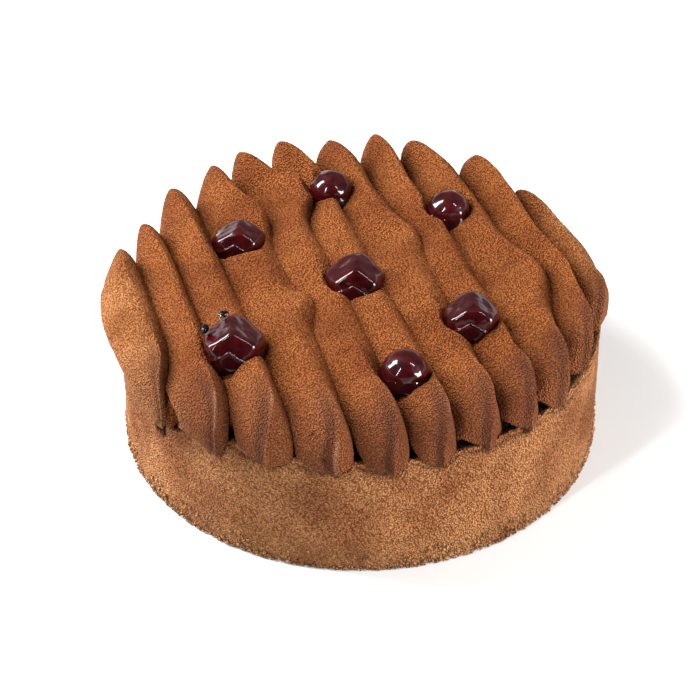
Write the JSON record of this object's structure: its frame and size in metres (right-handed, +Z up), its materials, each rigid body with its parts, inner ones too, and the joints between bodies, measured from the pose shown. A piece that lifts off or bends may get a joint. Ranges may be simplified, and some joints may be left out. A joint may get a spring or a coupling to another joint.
{
  "type": "black forest cake",
  "caption": "Round cocoa-dusted layer cake under piped ridges of chocolate cream that end in bulbs over the rim, with glazed cherries set into the cream.",
  "frame": {"origin": "centre of the flat underside of the cake", "axes": "+Z up, +Y along the piped ridges from their hanging bulbs to their lifted points, +X to the right seen from the bulbs"},
  "size_m": [0.2092, 0.2082, 0.0863],
  "materials": {
    "cocoa_crumb_coat": "fine cocoa crumb pressed on a chocolate coat, fully matt",
    "cocoa_velvet_cream": "piped cream sprayed with cocoa velvet, matt with a fine grain",
    "glazed_cherry": "dark red cherry under clear wet glaze"
  },
  "bodies": {
    "root": {"cake_body": "cocoa_crumb_coat", "ridge_01": "cocoa_velvet_cream", "ridge_02": "cocoa_velvet_cream", "ridge_03": "cocoa_velvet_cream", "ridge_04": "cocoa_velvet_cream", "ridge_05": "cocoa_velvet_cream", "ridge_06": "cocoa_velvet_cream", "ridge_07": "cocoa_velvet_cream", "ridge_08": "cocoa_velvet_cream", "ridge_09": "cocoa_velvet_cream", "ridge_10": "cocoa_velvet_cream", "ridge_11": "cocoa_velvet_cream", "cherry_1": "glazed_cherry", "cherry_2": "glazed_cherry", "cherry_3": "glazed_cherry", "cherry_4": "glazed_cherry", "cherry_5": "glazed_cherry", "cherry_6": "glazed_cherry", "cherry_7": "glazed_cherry"}
  },
  "joints": []
}
